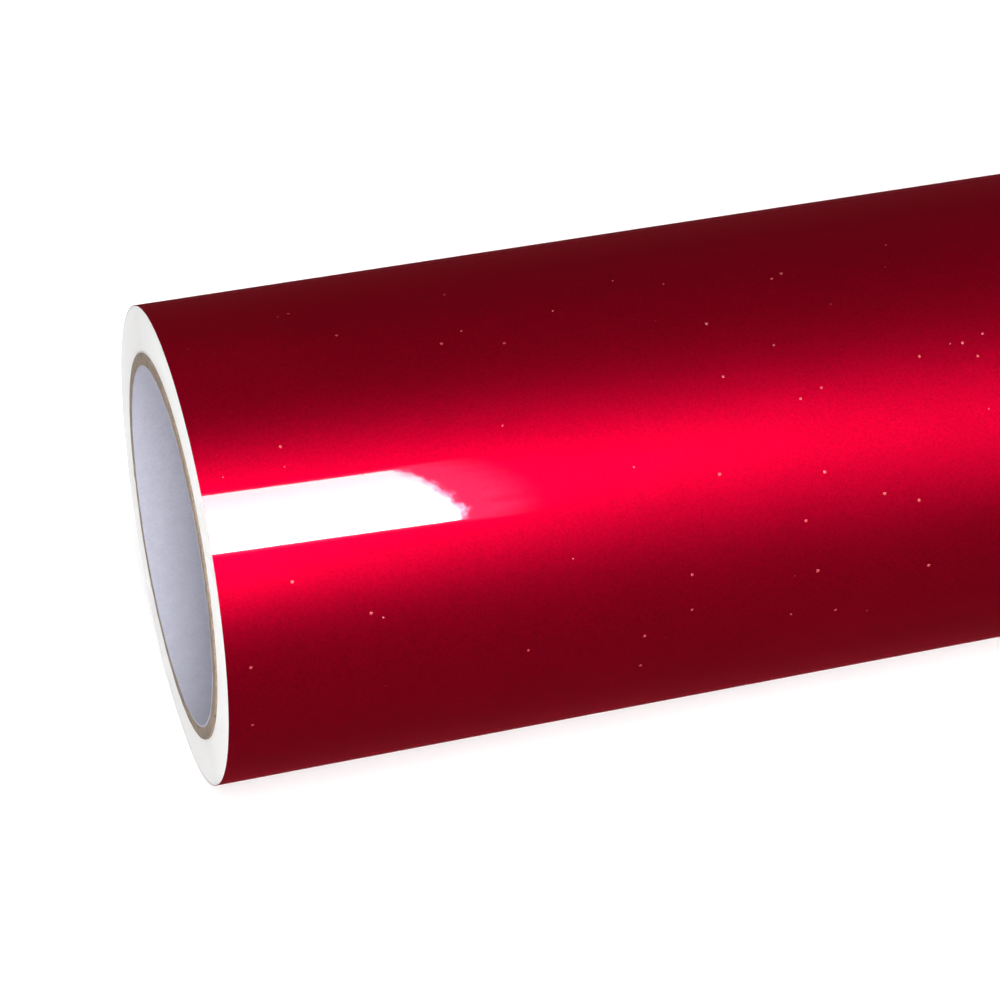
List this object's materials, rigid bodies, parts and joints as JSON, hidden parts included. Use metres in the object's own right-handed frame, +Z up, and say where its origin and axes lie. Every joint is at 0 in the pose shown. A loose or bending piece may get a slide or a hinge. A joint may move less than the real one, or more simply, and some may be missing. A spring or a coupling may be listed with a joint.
{
  "type": "sign vinyl roll",
  "caption": "Roll of glossy self-adhesive film on a paper liner, wound film side out on a paperboard core, with a taped free end.",
  "frame": {"origin": "on the surface that the roll lies on, under the middle of the roll", "axes": "+X along the roll's axis, +Y to the back where the free end is, +Z up"},
  "size_m": [0.6108, 0.1022, 0.1015],
  "materials": {
    "film": "glossy candy red film with a fine metallic grain",
    "liner": "smooth white release paper",
    "wound_web": "tight, even white edge of film and liner",
    "bore_lining": "matt bluish white paper",
    "kraft_board": "matt brown paperboard, cut edge",
    "start_tape": "thin pale adhesive tape",
    "end_tape": "creased cream paper tape"
  },
  "bodies": {
    "roll": {"core_inner_lining": "bore_lining", "core_board_ply_1": "kraft_board", "core_board_ply_2": "kraft_board", "core_board_ply_3": "kraft_board", "core_board_ply_4": "kraft_board", "core_outer_ply": "kraft_board", "start_tape": "start_tape", "wound_turns": "wound_web", "film_last_turn": "film", "liner_last_turn": "liner"},
    "tail_1": {"film_tail_1": "film", "liner_tail_1": "liner"},
    "tail_2": {"film_tail_2": "film", "liner_tail_2": "liner"},
    "tail_3": {"film_tail_3": "film", "liner_tail_3": "liner"},
    "tail_4": {"film_tail_4": "film", "liner_tail_4": "liner", "tape_anchor_left": "end_tape", "tape_anchor_middle": "end_tape", "tape_anchor_right": "end_tape"},
    "tab_left": {"tape_tab_left": "end_tape"},
    "tab_middle": {"tape_tab_middle": "end_tape"},
    "tab_right": {"tape_tab_right": "end_tape"}
  },
  "joints": [
    {"name": "tail_1_unroll", "type": "hinge", "parent": "roll", "child": "tail_1", "pos_m": [0, 0.02556, 0.09494], "axis": [1, 0, 0], "range_deg": [0, 12]},
    {"name": "tail_2_unroll", "type": "hinge", "parent": "tail_1", "child": "tail_2", "pos_m": [0, 0.04137, 0.08073], "axis": [1, 0, 0], "range_deg": [0, 24]},
    {"name": "tail_3_unroll", "type": "hinge", "parent": "tail_2", "child": "tail_3", "pos_m": [0, 0.05004, 0.06131], "axis": [1, 0, 0], "range_deg": [0, 24]},
    {"name": "tail_4_unroll", "type": "hinge", "parent": "tail_3", "child": "tail_4", "pos_m": [0, 0.05006, 0.04003], "axis": [1, 0, 0], "range_deg": [0, 24]},
    {"name": "tab_left_peel", "type": "hinge", "parent": "tail_4", "child": "tab_left", "pos_m": [-0.225, 0.04142, 0.02058], "axis": [1, 0, 0], "range_deg": [0, 120]},
    {"name": "tab_middle_peel", "type": "hinge", "parent": "tail_4", "child": "tab_middle", "pos_m": [0, 0.04142, 0.02058], "axis": [1, 0, 0], "range_deg": [0, 120]},
    {"name": "tab_right_peel", "type": "hinge", "parent": "tail_4", "child": "tab_right", "pos_m": [0.225, 0.04142, 0.02058], "axis": [1, 0, 0], "range_deg": [0, 120]}
  ],
  "couplings": [
    {"joint": "tail_2_unroll", "follows": "tail_1_unroll", "ratio": 2},
    {"joint": "tail_3_unroll", "follows": "tail_1_unroll", "ratio": 2},
    {"joint": "tail_4_unroll", "follows": "tail_1_unroll", "ratio": 2}
  ]
}
